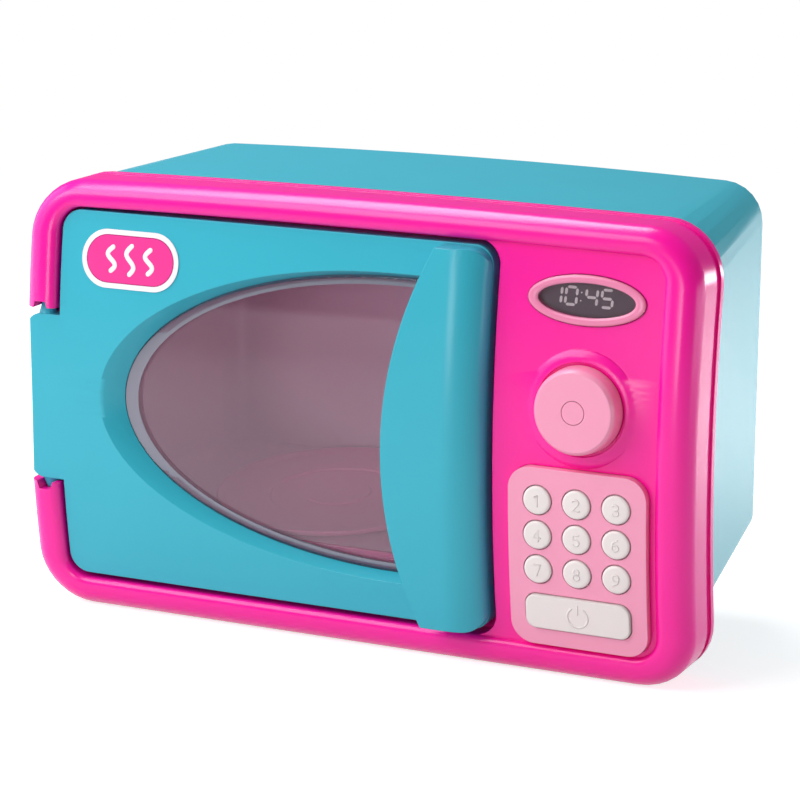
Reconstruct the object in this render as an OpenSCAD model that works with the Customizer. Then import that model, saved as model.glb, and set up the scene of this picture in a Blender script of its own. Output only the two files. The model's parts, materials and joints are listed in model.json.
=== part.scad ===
// Toy microwave oven: bowed front frame, side-hinged window door, knob, keypad and turntable.
// Millimetres, Z up, front towards -Y. Sizes are measured from the frame's middle and its foot,
// and a depth is measured back from the bowed face of the control panel.

/* [Front frame] */
// Width of the front frame
frame_w = 320; // [316:1:340]
// Height of the front frame
frame_h = 199; // [196:1:215]
// Depth of the frame from the panel face to its rear edge
frame_d = 26; // [24:0.5:32]
// How far the front bows forward at mid height
bow_depth = 10.5; // [8:0.5:13]
// Radius of the frame's outer corners
frame_corner_r = 26; // [22:1:30]
// Rise of the frame's top edge at its middle
frame_crown = 1.9; // [0:0.1:3]
// Width of the raised roll at the left and right
roll_w = 16; // [15:0.5:18]
// Width of the raised roll at the top
roll_top_w = 12; // [11:0.5:14]
// Width of the raised roll at the foot
roll_foot_w = 13.7; // [12.5:0.1:14.5]
// Height of the roll over the panel face
roll_rise = 3.5; // [2.5:0.1:4.5]
// Radius of the roll's outer edge
roll_edge_r = 8; // [6:0.5:9]
// Distance in from the side at which the roll's inner slope starts
roll_slope_in = 10; // [9.2:0.2:11.8]
// Radius of the panel's inner corners
panel_corner_r = 11; // [9:0.5:13]
// Outer wall of the frame
frame_wall = 4.4; // [4:0.1:5]
// Wall on the inner side of the roll
roll_inner_wall = 2.8; // [2.4:0.1:3.2]
// Skin of the roll's front
roll_skin = 3; // [2.5:0.1:3.5]
// Width of the flange behind the shadow groove
flange_w = 3.4; // [3:0.1:5]
// Width of the shadow groove
groove_w = 5.2; // [4:0.1:6]
// Depth of the shadow groove
groove_depth = 1.2; // [0.8:0.1:2]

/* [Panel and door seat] */
// Width of the control panel between the door gap and the roll
panel_w = 73.5; // [72:0.5:78]
// Thickness of the control panel
panel_t = 2.5; // [2.2:0.1:3]
// Depth of the plate behind the door
seat_depth = 11.8; // [11.5:0.1:13]
// Thickness of the plate behind the door
seat_t = 2.5; // [2:0.1:3]
// Width of the wall between the panel and the door
partition_t = 2.5; // [2:0.1:3]

/* [Door] */
// Gap between the door and the roll at the hinge side
door_gap_side = 1.6; // [1.4:0.1:2.2]
// Gap between the door and the control panel
door_gap_panel = 3; // [2:0.1:4]
// Gap above and below the door
door_gap_ends = 2.4; // [1.5:0.1:3]
// Radius of the door's corners
door_corner_r = 9; // [6:0.5:11]
// Skin of the door's face
door_skin = 2.6; // [2.2:0.1:3]
// Depth of the door's moulding
door_depth = 9.5; // [9.2:0.1:9.8]
// Wall around the door's edge
door_wall = 2.5; // [2:0.1:3]
// Thickness of the door's rear panel
door_back_t = 1.6; // [1.2:0.1:1.8]
// Thickness of the catch behind the door's free edge
catch_t = 3; // [2.4:0.1:3.2]
// Height of the catch
catch_h = 12; // [8:0.5:16]

/* [Window] */
// Half length of the window's oval
window_a = 134.2; // [128:0.2:136]
// Half height of the window's oval
window_b = 65.9; // [60:0.2:68]
// Distance of the oval's middle from the door's free edge
window_from_edge = 46; // [44:0.5:48]
// Width of the window's straight stretch under the grip
window_straight = 22.5; // [21:0.5:24]
// Distance of the oval's middle over the frame's middle
window_rise = 1.5; // [0:0.1:3]
// Width of the scooped border at the hinge side
scoop_side = 9.1; // [6:0.1:10]
// Width of the scooped border above and below
scoop_ends = 2.6; // [1.5:0.1:3]
// Depth of the scooped border
scoop_depth = 7.4; // [6:0.1:7.5]
// Wall of the collar around the scoop
collar_wall = 2.8; // [2:0.1:3.2]
// Width of the bevel at the pane's side
pane_bevel_side = 6; // [3:0.2:8]
// Width of the bevel above and below on the pane
pane_bevel_ends = 1.7; // [1:0.1:3]
// Drop of the pane's bevel at its outer edge
pane_bevel_drop = 0.3; // [0.2:0.1:0.4]
// Thickness of the pane
pane_t = 1.6; // [1.3:0.1:1.7]
// Width of the pane's flange past the opening
pane_flange = 3.2; // [2:0.1:3.4]

/* [Grip] */
// Height of the grip over the door's face
grip_rise = 11; // [9:0.2:13]
// Radius of the grip's curved inner edge
grip_arc_r = 197; // [180:1:215]
// Reach of the grip from the door's free edge to the arc
grip_reach = 44.4; // [42:0.2:46]
// Width of the grip's foot on the door
grip_foot_w = 23.5; // [22:0.5:24.5]
// Thickness of the grip's free lip
grip_lip_t = 3.5; // [3:0.1:4.5]
// Width of the rounded flank at the grip's free side
grip_flank_w = 16; // [13:0.5:18]
// Corner radius of the grip's free end above and below
grip_corner_r = 9; // [6:0.5:14]
// How far the grip stays short of the door's edge above and below
grip_short = 0.8; // [0.2:0.1:2]

/* [Hinge] */
// Distance of the hinge axis in from the frame's side
hinge_in = 9; // [8.8:0.1:9.3]
// Distance of the hinge axis in front of the frame's foot plane
hinge_forward = 4.5; // [4:0.1:5]
// Length of the knuckle
knuckle_h = 76.5; // [60:0.5:84]
// Distance of the knuckle's middle below the frame's middle
knuckle_drop = 1; // [0:0.5:3]
// Gap between the knuckle and the roll's lower end
knuckle_low_gap = 1.2; // [0.8:0.1:3]
// Gap between the knuckle and the roll's upper end
knuckle_top_gap = 3.2; // [2:0.1:4.5]
// Radius of the knuckle's outer corners
knuckle_corner_r = 7; // [3:0.5:8]
// Radius of the cones beside the knuckle
hub_r = 4.2; // [3.6:0.1:4.4]
// Length of the cone below the knuckle
hub_low_len = 4.8; // [4:0.1:6]
// Length of the cone above the knuckle
hub_top_len = 6; // [5:0.1:7]
// Radius swept by the knuckle
knuckle_r = 8.5; // [8:0.1:8.6]
// Diameter of the hinge pins
hinge_pin_d = 4; // [3:0.1:4.6]
// Length of the hinge pins past the cones
hinge_pin_engage = 3.5; // [2.5:0.1:4.5]
// Running clearance around the pins
pin_clear = 0.05; // [0.02:0.01:0.1]

/* [Knob] */
// Height of the mound's rim over the keypad's top edge
mound_gap = 2.6; // [1.5:0.1:5]
// Radius of the mound around the knob
mound_r = 23.5; // [22.5:0.1:25]
// Height of the mound over the panel
mound_rise = 1.3; // [0.8:0.1:2]
// Radius of the well in the mound
well_r = 20; // [19.5:0.1:21]
// Radius of the knob's base
knob_r = 18.7; // [16:0.1:19]
// Radius of the knob's front
knob_front_r = 16.6; // [13:0.1:17]
// Height of the knob
knob_h = 9.6; // [8:0.1:12]
// Wall of the knob
knob_wall = 2; // [1.6:0.1:2.5]
// Radius of the cap in the knob's middle
knob_cap_r = 4.9; // [4:0.1:6]
// Diameter of the knob's shaft
knob_shaft_d = 6; // [5:0.1:7]
// Radius of the detent wheel behind the panel
detent_r = 8; // [7:0.1:8.5]
// Number of stops around the detent wheel
detent_count = 12; // [8:1:16]

/* [Display] */
// Distance of the display's middle below the frame's top
display_drop = 33.2; // [31:0.2:36]
// Distance of the panel parts' middle line to the right of the panel's middle
panel_off = 2.95; // [2:0.05:4]
// Half length of the display's lens
display_a = 26.4; // [24:0.2:28]
// Half height of the display's lens
display_b = 10.7; // [9:0.1:12]
// Width of the rim around the display's opening at the sides
display_rim_side = 4.5; // [3:0.1:5]
// Width of the rim around the display's opening above and below
display_rim_ends = 3.4; // [2:0.1:3.6]
// Height of the lens over the panel
lens_rise = 0.6; // [0.3:0.1:1]
// Depth of the lens in its seat
lens_seat = 1; // [0.8:0.1:1.4]

/* [Keypad] */
// Distance that the keypad plate is narrower than the panel at each side on average
keypad_side = 5.75; // [5.25:0.25:6.25]
// Height of the keypad plate
keypad_h = 79.5; // [79:0.5:83]
// Height of the keypad plate's lower edge over the frame's foot
keypad_foot = 14.9; // [14.7:0.1:16]
// Radius of the keypad plate's corners
keypad_corner_r = 10; // [6:0.5:12]
// Height of the keypad plate over the panel
keypad_rise = 3.5; // [2.5:0.1:4.5]
// Thickness of the keypad plate's face
keypad_skin = 2; // [1.5:0.1:2.2]
// Width of the keypad plate's border wall
keypad_wall = 2.4; // [2:0.1:2.5]
// Depth of the keypad plate's seat in the panel
keypad_seat = 0.8; // [0.6:0.1:1]
// Radius of the keys
key_r = 6.2; // [5.5:0.1:6.4]
// Gap around each key
key_gap = 0.5; // [0.25:0.05:0.5]
// Height of the keys over the keypad plate
key_rise = 1.2; // [0.8:0.1:2]
// Width of the keys' rear flange
key_flange = 0.9; // [0.7:0.1:0.9]
// Distance between key columns
key_pitch_x = 17.67; // [17:0.1:18]
// Distance between key rows
key_pitch_z = 15.27; // [15:0.1:15.8]
// Distance of the first key row below the keypad plate's top
key_row_drop = 13.95; // [12:0.1:14.5]
// Width of the start key
start_w = 47.4; // [40:0.1:47.6]
// Height of the start key
start_h = 15.6; // [13:0.1:17]
// Distance of the start key's lower edge from the keypad plate's lower edge
start_foot = 8.3; // [7.5:0.1:9]
// Corner radius of the start key
start_corner_r = 5; // [3:0.5:8]
// Travel of the keys
key_travel = 1.5; // [0.8:0.1:1.6]

/* [Housing] */
// Depth of the whole oven behind the frame's foot plane
housing_back = 127.3; // [124:0.5:150]
// Step in from the frame's side to the housing beside it
housing_step = 3; // [2.5:0.1:3.4]
// Inward run of the housing's sides towards the back
housing_taper = 15.3; // [8:0.5:17]
// Height of the housing's underside behind the frame
housing_foot_front = 29.5; // [27:0.5:31]
// Height of the housing's underside at the back
housing_foot_back = 39; // [36:0.5:40]
// Drop of the housing's top below the frame's top at its front
housing_top_drop = 2.2; // [1.6:0.1:3]
// Rise of the housing's top at the middle of the back over its sides
housing_crown = 2.6; // [1:0.1:3]
// Radius of the housing's upper corners at the frame
housing_front_r = 24; // [20:1:28]
// Radius of the housing's upper corners at the back
housing_back_r = 17.5; // [14:0.5:22]
// Radius of the housing's lower corners
housing_low_r = 6; // [5:0.5:9]
// Width of the rounded edge around the housing's back
housing_edge = 3.5; // [2.5:0.5:4.5]
// Wall of the housing
housing_wall = 2.5; // [2.2:0.1:3]
// Radius of the rear legs
leg_r = 9; // [7:0.5:10]
// Distance of the rear legs from the middle
leg_x = 95; // [70:1:100]
// Distance of the rear legs in from the back
leg_in = 18; // [16:0.5:25]
// Thickness of the pads under the rear legs
leg_pad_t = 2; // [1.5:0.1:3]
// Distance of the housing screws in from the frame's side
tower_in = 26.5; // [26:0.1:27]
// Height of the lower housing screws
tower_low_z = 62; // [58:1:80]
// Distance of the upper housing screws below the frame's top
tower_top_drop = 16; // [15.5:0.1:17]
// Outer radius of the screw towers
tower_r = 4.6; // [4.5:0.1:4.8]
// Radius of the channel in each screw tower
channel_r = 3.3; // [3.2:0.1:3.4]

/* [Oven cavity] */
// Distance of the cavity's left wall from the frame's left side
cavity_left_in = 35; // [34.5:0.5:37]
// Distance of the cavity's right wall from the panel's inner edge
cavity_right_in = 14.5; // [13:0.5:16]
// Height of the doorway's sill
cavity_sill = 42; // [41:0.5:43]
// Distance of the doorway's top below the frame's top
cavity_top_drop = 29; // [28:0.5:31]
// Corner radius of the doorway
cavity_corner_r = 12; // [6:1:16]
// Depth of the cavity's rear wall behind the foot plane
cavity_back = 120.5; // [119.5:0.5:121]
// Wall of the cavity's lining
liner_wall = 1.8; // [1.4:0.1:2]
// Slope of the cavity's floor towards the back in degrees
floor_slope = 5.7; // [5:0.1:6.2]

/* [Turntable] */
// Radius of the turntable plate
plate_r = 56; // [48:0.5:56.5]
// Height of the turntable plate's rim
plate_h = 4.2; // [3.5:0.1:5]
// Distance of the turntable's middle from the cavity's left wall
plate_from_left = 87; // [86:0.5:89]
// Depth of the turntable's middle behind the foot plane
plate_y = 62; // [61.8:0.1:62.4]
// Gap between the turntable plate and the floor
plate_gap = 0.5; // [0.4:0.1:0.8]
// Diameter of the turntable's spindle
spindle_d = 8; // [6:0.1:9]

/* [Sticker] */
// Length of the door's sticker
sticker_w = 49; // [40:0.5:50]
// Height of the door's sticker
sticker_h = 26; // [20:0.5:28]
// Distance of the sticker's middle from the door's hinge edge
sticker_in = 35.5; // [33:0.5:38]
// Distance of the sticker's middle below the door's top
sticker_drop = 20.3; // [18:0.1:22]
// Thickness of the sticker
sticker_t = 0.3; // [0.2:0.05:0.4]

/* [Fasteners] */
// Shank diameter of the small screws
small_screw_d = 2.2; // [2:0.1:2.4]
// Length of the small screws
small_screw_l = 6; // [5:0.5:6.5]
// Length of the short screws
short_screw_l = 4; // [3.6:0.1:4.2]
// Head radius of the small screws
small_head_r = 2.1; // [1.8:0.1:2.2]
// Shank diameter of the housing screws
large_screw_d = 3; // [2.6:0.1:3.2]
// Length of the housing screws
large_screw_l = 14; // [11:0.5:15]
// Head radius of the housing screws
large_head_r = 2.9; // [2.6:0.1:3]
// Gap between a screw's thread and the hole it bites in
thread_gap = 0.05; // [0.02:0.01:0.08]
// Gap under a straight screw's head where the face slopes
head_gap = 0.45; // [0.4:0.05:0.6]
// Gap left between seated pieces
seat_gap = 0.1; // [0.05:0.05:0.15]

/* [Hidden] */
round_fn = 96;
bow_fn = 360;
tiny = 0.05;
reach = 60;
mid_z = frame_h / 2;
bow_r = (mid_z * mid_z + bow_depth * bow_depth) / (2 * bow_depth);
left_x = -frame_w / 2;
right_x = frame_w / 2;
roll_front = -roll_rise;
seat_rear = seat_depth + seat_t;
panel_x = right_x - roll_w - panel_w;
door_x0 = left_x + roll_w + door_gap_side;
door_x1 = panel_x - door_gap_panel;
door_z0 = roll_foot_w + door_gap_ends;
door_z1 = frame_h - roll_top_w - door_gap_ends;
win_x = door_x1 - window_from_edge;
win_end = win_x + window_straight;
win_z = mid_z + window_rise;
grip_x0 = door_x1 - grip_foot_w;
catch_x = door_x1 - 7.5;
catch_back = bow_y(mid_z) + seat_rear + 6;
grip_front = -grip_rise;
hinge_x = left_x + hinge_in;
hinge_y = -hinge_forward;
knuckle_z0 = mid_z - knuckle_drop - knuckle_h / 2;
knuckle_z1 = mid_z - knuckle_drop + knuckle_h / 2;
notch_z0 = knuckle_z0 - knuckle_low_gap;
notch_z1 = knuckle_z1 + knuckle_top_gap;
hub_tip_r = hinge_pin_d / 2 + 0.3;
hub_clear = 0.6;
pin_low_z = knuckle_z0 - hub_low_len - hinge_pin_engage;
pin_top_z = knuckle_z1 + hub_top_len + hinge_pin_engage;
notch_r = knuckle_r + 0.6;
part_x = panel_x + panel_w / 2 + panel_off;
keypad_w = panel_w - 2 * keypad_side;
keypad_top = keypad_foot + keypad_h;
keypad_z = keypad_foot + keypad_h / 2;
keypad_inset = keypad_wall + 0.3;
knob_z = keypad_top + mound_gap + mound_r;
display_z = frame_h - display_drop;
key_row_1 = keypad_top - key_row_drop;
start_z = keypad_foot + start_foot + start_h / 2;
flange_front = keypad_rise - keypad_skin - seat_gap;
flange_t = 1.2;
mat_depth = key_travel - flange_front + flange_t + 0.5;
backing_depth = panel_t + 1;
backing_t = 1.6;
backing_side = 3.6;
boss_left = panel_x + partition_t + backing_side;
boss_right = right_x - roll_w - 2.6;
boss_low_z = keypad_foot + 15;
boss_high_z = keypad_top - 15;
cavity_x0 = left_x + cavity_left_in;
cavity_x1 = panel_x - cavity_right_in;
cavity_top = frame_h - cavity_top_drop;
floor_front_y = 5.5;
floor_front_z = cavity_sill - 0.4;
liner_round = 12;
plate_x = cavity_x0 + plate_from_left;
floor_at_plate = floor_front_z + (plate_y - floor_front_y) * tan(floor_slope);
housing_front_y = 12;
tower_x = right_x - tower_in;
tower_top_z = frame_h - tower_top_drop;
tower_floor_y = 30;
tower_floor_t = 3;
origin_y = (bow_depth + grip_rise - housing_back) / 2;
hot_pink = [0.98, 0.2, 0.62];
soft_pink = [0.96, 0.66, 0.76];
turquoise = [0.33, 0.75, 0.84];
key_white = [0.87, 0.85, 0.82];

// Distance of the bowed face in front of the foot plane at a height
function bow_y(z) = bow_r - bow_depth - sqrt(bow_r * bow_r - (z - mid_z) * (z - mid_z));
// Tilt of the bowed face at a height, in degrees
function bow_tilt(z) = asin((z - mid_z) / bow_r);
// Points of a quarter circle
function quarter(cx, cz, r, start, n) =
    [for (i = [0:n]) [cx + r * cos(start + 90 * i / n), cz + r * sin(start + 90 * i / n)]];
// Points of a straight run without its ends
function run(a, b, n) = [for (i = [1:n - 1]) a + (b - a) * i / n];
// Outline of a rounded box, with runs split so that it can follow the bow
function box_loop(x0, x1, z0, z1, r, n, m) = concat(
    quarter(x1 - r, z0 + r, r, -90, n), run([x1, z0 + r], [x1, z1 - r], m),
    quarter(x1 - r, z1 - r, r, 0, n), run([x1 - r, z1], [x0 + r, z1], m),
    quarter(x0 + r, z1 - r, r, 90, n), run([x0, z1 - r], [x0, z0 + r], m),
    quarter(x0 + r, z0 + r, r, 180, n), run([x0 + r, z0], [x1 - r, z0], m));
// Lowers the upper half of an outline away from its middle, for a crowned top
function crowned(pts, crown) = [for (p = pts)
    [p[0], p[1] - crown * pow(p[0] / right_x, 2) * max(0, (p[1] - mid_z) / (frame_h - mid_z))]];
// Oval on the hinge side with straight runs to the grip side
function window_loop(a, b, x_end, n) = concat(
    [for (i = [0:n]) [win_x + a * cos(90 + 180 * i / n), win_z + b * sin(90 + 180 * i / n)]],
    [[x_end, win_z - b], [x_end, win_z + b]]);
function oval(cx, cz, a, b, n) =
    [for (i = [0:n - 1]) [cx + a * cos(360 * i / n), cz + b * sin(360 * i / n)]];
function mix(p, q, f) = p + (q - p) * f;
// Triangles of a closed tube of rings, each ring with m points
function tube_faces(n, m) = [for (i = [0:n - 1], j = [0:m - 1], k = [0:1])
    let (a = i * m + j, b = ((i + 1) % n) * m + j,
         c = ((i + 1) % n) * m + (j + 1) % m, d = i * m + (j + 1) % m)
    k == 0 ? [a, c, b] : [a, d, c]];
// Triangles of a stack of loops with n points, closed by a middle point at each end
function stack_faces(n, layers) = concat(
    [for (i = [0:layers - 2], j = [0:n - 1], k = [0:1])
        let (a = i * n + j, b = i * n + (j + 1) % n, c = (i + 1) * n + (j + 1) % n, d = (i + 1) * n + j)
        k == 0 ? [a, b, c] : [a, c, d]],
    [for (j = [0:n - 1]) [layers * n, (j + 1) % n, j]],
    [for (j = [0:n - 1]) [layers * n + 1, (layers - 1) * n + j, (layers - 1) * n + (j + 1) % n]]);

// Puts the model's foot plane behind the origin
module placed() {
    translate([0, origin_y, 0]) children();
}
// Stretches a drawing in X and Z from y0 back to y1
module prism(y0, y1) {
    translate([0, y1, 0]) rotate([90, 0, 0]) linear_extrude(y1 - y0) children();
}
// Solid between two depths behind the bowed face
module bowed(d0, d1) {
    translate([-reach * 4, bow_r - bow_depth, mid_z]) rotate([0, 90, 0]) difference() {
        cylinder(r = bow_r - d0, h = reach * 8, $fn = bow_fn);
        translate([0, 0, -1]) cylinder(r = bow_r - d1, h = reach * 8 + 2, $fn = bow_fn);
    }
}
// Drawing in X and Z made solid between two depths behind the bowed face
module face_slab(d0, d1) {
    intersection() {
        prism(-reach, reach) children();
        bowed(d0, d1);
    }
}
// Places children on the bowed face with their Z axis along its outward normal
module on_face(x, z) {
    translate([x, bow_y(z), z]) rotate([90 - bow_tilt(z), 0, 0]) children();
}
module rounded(x0, x1, z0, z1, r) {
    translate([x0, z0 + r]) square([x1 - x0, z1 - z0 - 2 * r]);
    translate([x0 + r, z0]) square([x1 - x0 - 2 * r, z1 - z0]);
    for (x = [x0 + r, x1 - r], z = [z0 + r, z1 - r])
        translate([x, z]) circle(r = r, $fn = round_fn);
}
module bore(r, h) {
    cylinder(r = r, h = h, $fn = round_fn);
}
// Screw with its head's underside at zero and its shank along -Z
module screw(d, head_r, length, head_h) {
    difference() {
        union() {
            translate([0, 0, -length]) cylinder(d = d, h = length + tiny, $fn = 32);
            cylinder(r = head_r, h = head_h, $fn = 32);
        }
        for (a = [0, 90])
            rotate([0, 0, a])
                translate([-head_r * 0.6, -head_r * 0.12, head_h * 0.5])
                    cube([head_r * 1.2, head_r * 0.24, head_h]);
    }
}

// Room for the cone beside the knuckle, with an opening to the front that narrows away from it
module hub_seat(length) {
    wide = hub_r + hub_clear * 0.6;
    narrow = hub_tip_r + hub_clear * 0.6;
    cylinder(r1 = hub_r + hub_clear, r2 = hub_tip_r + hub_clear, h = length + 0.3, $fn = round_fn);
    prism(-reach, 0) polygon([[-wide, 0], [wide, 0], [narrow, length + 0.1], [-narrow, length + 0.1]]);
}

// Cross-section of the frame as distance in from its side and depth
function frame_section() = concat(
    [[0, frame_d], [0, frame_d - flange_w], [groove_depth, frame_d - flange_w],
     [groove_depth, frame_d - flange_w - groove_w], [0, frame_d - flange_w - groove_w]],
    [for (i = [0:7]) [roll_edge_r * (1 - cos(90 * i / 7)),
        roll_front + roll_edge_r * (1 - sin(90 * i / 7))]],
    [for (i = [0:4]) [roll_slope_in + (roll_w - roll_slope_in) * sin(90 * i / 5),
        roll_front * cos(90 * i / 5)]],
    [[roll_w, 0.5], [roll_w, seat_rear + 0.6], [roll_w - roll_inner_wall, seat_rear + 0.6],
     [roll_w - roll_inner_wall, roll_front + roll_skin], [frame_wall, roll_front + roll_skin],
     [frame_wall, frame_d]]);

module frame_ring() {
    outer = crowned(box_loop(left_x, right_x, 0, frame_h, frame_corner_r, 9, 9), frame_crown);
    inner = crowned(box_loop(left_x + roll_w, right_x - roll_w, roll_foot_w,
        frame_h - roll_top_w, panel_corner_r, 9, 9), frame_crown);
    section = frame_section();
    pts = [for (i = [0:len(outer) - 1], s = section)
        let (p = mix(outer[i], inner[i], s[0] / roll_w)) [p[0], bow_y(p[1]) + s[1], p[1]]];
    polyhedron(points = pts, faces = tube_faces(len(outer), len(section)), convexity = 8);
}
module panel_area(x0, x1) {
    intersection() {
        rounded(left_x + roll_w - 1, right_x - roll_w + 1, roll_foot_w - 1,
            frame_h - roll_top_w + 1, panel_corner_r + 1);
        translate([x0, 0]) square([x1 - x0, frame_h]);
    }
}
module keypad_outline(inset) {
    rounded(part_x - keypad_w / 2 + inset, part_x + keypad_w / 2 - inset,
        keypad_foot + inset, keypad_top - inset, max(keypad_corner_r - inset, 1));
}
// Positions of the small bosses behind the keypad
module at_backing_bosses() {
    for (x = [boss_left, boss_right], z = [boss_low_z, boss_high_z])
        translate([x, bow_y(z), z]) rotate([90, 0, 0]) children();
}
// Positions of the housing's screws, with Z pointing back
module at_towers() {
    for (x = [-tower_x, tower_x], z = [tower_low_z, tower_top_z])
        translate([x, 0, z]) rotate([-90, 0, 0]) children();
}
// Positions of the screws that hold the cavity's lining
module at_liner_screws() {
    for (x = [cavity_x0 + 20, cavity_x1 - 20], z = [cavity_sill - 7, cavity_top + 7])
        translate([x, bow_y(z), z]) rotate([-90, 0, 0]) children();
}
module front_frame() {
    color(hot_pink) placed() difference() {
        union() {
            frame_ring();
            face_slab(0, panel_t) panel_area(panel_x, right_x);
            face_slab(0, seat_rear) panel_area(panel_x, panel_x + partition_t);
            face_slab(seat_depth, seat_rear) panel_area(left_x, panel_x + tiny);
            // Fills beside the door's free corners
            face_slab(0, seat_rear) difference() {
                panel_area(panel_x - door_corner_r, panel_x + 1);
                rounded(door_x0, panel_x + 0.2, roll_foot_w - 0.2, frame_h - roll_top_w + 0.2,
                    door_corner_r + door_gap_ends);
            }
            // Rear wall below the housing
            face_slab(frame_d - panel_t, frame_d - 0.2) intersection() {
                rounded(left_x + frame_wall - 1, right_x - frame_wall + 1, frame_wall - 1, frame_h,
                    frame_corner_r - frame_wall + 1);
                translate([left_x, 0]) square([frame_w, housing_foot_front + 3]);
            }
            // Mound around the knob
            on_face(part_x, knob_z) translate([0, 0, -panel_t + 0.5])
                rotate_extrude($fn = round_fn) polygon([[0, 0], [mound_r + 1.6, 0],
                    [mound_r + 1.6, panel_t - 0.7], [mound_r - 1, panel_t - 0.5 + mound_rise],
                    [0, panel_t - 0.5 + mound_rise]]);
            // Bush for the knob's shaft
            on_face(part_x, knob_z) translate([0, 0, -panel_t - 4])
                bore(knob_shaft_d / 2 + 3, panel_t + 4 - 0.5);
            // Post and slot for the detent spring
            on_face(part_x, knob_z) for (y = [-detent_r - 3, detent_r])
                translate([-detent_r - 3, y, -panel_t - 8]) cube([4, 3, 8 + 0.8]);
            at_backing_bosses() translate([0, 0, -backing_depth + seat_gap + 0.3])
                bore(2.5, backing_depth - seat_gap - 0.9);
            // Bosses for the housing's screws
            for (side = [-1, 1]) intersection() {
                at_towers() translate([0, 0, -reach / 2]) bore(4, reach / 2 + tower_floor_y - 0.1);
                bowed(side < 0 ? seat_depth + 0.5 : panel_t - 1, reach * 2);
                translate([side < 0 ? left_x : 0, -reach, 0]) cube([right_x, reach * 4, frame_h]);
            }
            // Blocks that carry the hinge pins
            face_slab(roll_front + roll_skin - 1, seat_depth - 0.5) for (z = [[pin_low_z - 2, notch_z0],
                    [notch_z1, pin_top_z + 2]])
                translate([left_x + frame_wall - 0.6, z[0]])
                    square([roll_w - roll_inner_wall - frame_wall + 1.2, z[1] - z[0]]);
        }
        // Well and bore of the knob
        on_face(part_x, knob_z) bore(well_r, reach);
        on_face(part_x, knob_z) translate([0, 0, -reach / 2])
            bore(knob_shaft_d / 2 + pin_clear, reach);
        on_face(part_x, knob_z) translate([-detent_r - 1.6, -detent_r - 1, -panel_t - 9])
            cube([1, detent_r * 2 + 2, 9 - 0.2]);
        // Doorway
        prism(-reach, reach) rounded(cavity_x0, cavity_x1, cavity_sill, cavity_top, cavity_corner_r);
        // Keypad's seat and opening
        face_slab(roll_front - 1, keypad_seat) keypad_outline(-0.15);
        prism(-reach, reach) keypad_outline(keypad_inset);
        // Display's seat and opening
        face_slab(-reach / 2, lens_seat) polygon(oval(part_x, display_z, display_a, display_b, 64));
        prism(-reach, reach) polygon(oval(part_x, display_z, display_a - display_rim_side,
            display_b - display_rim_ends, 64));
        at_backing_bosses() translate([0, 0, -reach / 4])
            bore(small_screw_d / 2 + thread_gap, reach / 4 - 0.7);
        at_towers() translate([0, 0, seat_rear - 4 + tiny]) bore(large_screw_d / 2 + thread_gap, reach);
        at_liner_screws() translate([0, 0, seat_depth + 0.6])
            bore(small_screw_d / 2 + thread_gap, reach);
        // Notch for the door's knuckle
        translate([left_x - reach, -reach, notch_z0])
            cube([roll_w + reach + 0.1, reach + hinge_y + notch_r + 0.4, notch_z1 - notch_z0]);
        // Sockets of the hinge pins
        translate([hinge_x, hinge_y, pin_low_z - 0.6])
            bore(hinge_pin_d / 2 + pin_clear, pin_top_z - pin_low_z + 1.2);
        // Seats of the cones, open to the front
        translate([hinge_x, hinge_y, knuckle_z0]) mirror([0, 0, 1]) hub_seat(hub_low_len);
        translate([hinge_x, hinge_y, knuckle_z1]) hub_seat(hub_top_len);
        // Slot for the door's catch
        translate([catch_x - 1, -reach / 4, mid_z - catch_h / 2 - 1])
            cube([catch_t + 4, reach, catch_h + 2]);
    }
}

// Box outline whose lower corners have a radius of their own
function footed_loop(x0, x1, z0, z1, r, low, n, m) = concat(
    quarter(x1 - low, z0 + low, low, -90, n), run([x1, z0 + low], [x1, z1 - r], m),
    quarter(x1 - r, z1 - r, r, 0, n), run([x1 - r, z1], [x0 + r, z1], m),
    quarter(x0 + r, z1 - r, r, 90, n), run([x0, z1 - r], [x0, z0 + low], m),
    quarter(x0 + low, z0 + low, low, 180, n), run([x0 + low, z0], [x1 - low, z0], m));
function housing_loop(hw, z0, z1, r, low, crown) = [for (p = footed_loop(-hw, hw, z0, z1, r, low, 6, 8))
    [p[0], p[1] - crown * (pow(p[0] / hw, 2) - 1) * max(0, (p[1] - mid_z) / (z1 - mid_z))]];
// Rounded box of the housing, drawn in by an inset, as a stack of loops from front to back
module housing_form(inset) {
    front = [right_x - housing_step, housing_foot_front, frame_h - frame_crown - housing_top_drop + 1.6,
        housing_front_r, 0.8];
    back = [right_x - housing_step - housing_taper, housing_foot_back, frame_h - frame_crown,
        housing_back_r, housing_crown];
    e = housing_edge;
    layers = [[housing_front_y - inset, front, inset], [housing_back - e, back, inset],
        [housing_back - e * 0.5 - inset * 0.5, back, inset + e * 0.15],
        [housing_back - e * 0.15 - inset * 0.85, back, inset + e * 0.5],
        [housing_back - inset, back, inset + e]];
    loops = [for (l = layers) let (f = l[1], w = l[2])
        housing_loop(f[0] - w, f[1] + w, f[2] - w, f[3] - w, max(1, housing_low_r - w), f[4])];
    pts = concat([for (i = [0:len(layers) - 1], p = loops[i]) [p[0], layers[i][0], p[1]]],
        [[0, housing_front_y - inset, mid_z]], [[0, housing_back - inset, mid_z]]);
    polyhedron(points = pts, faces = stack_faces(len(loops[0]), len(layers)), convexity = 4);
}
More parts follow.
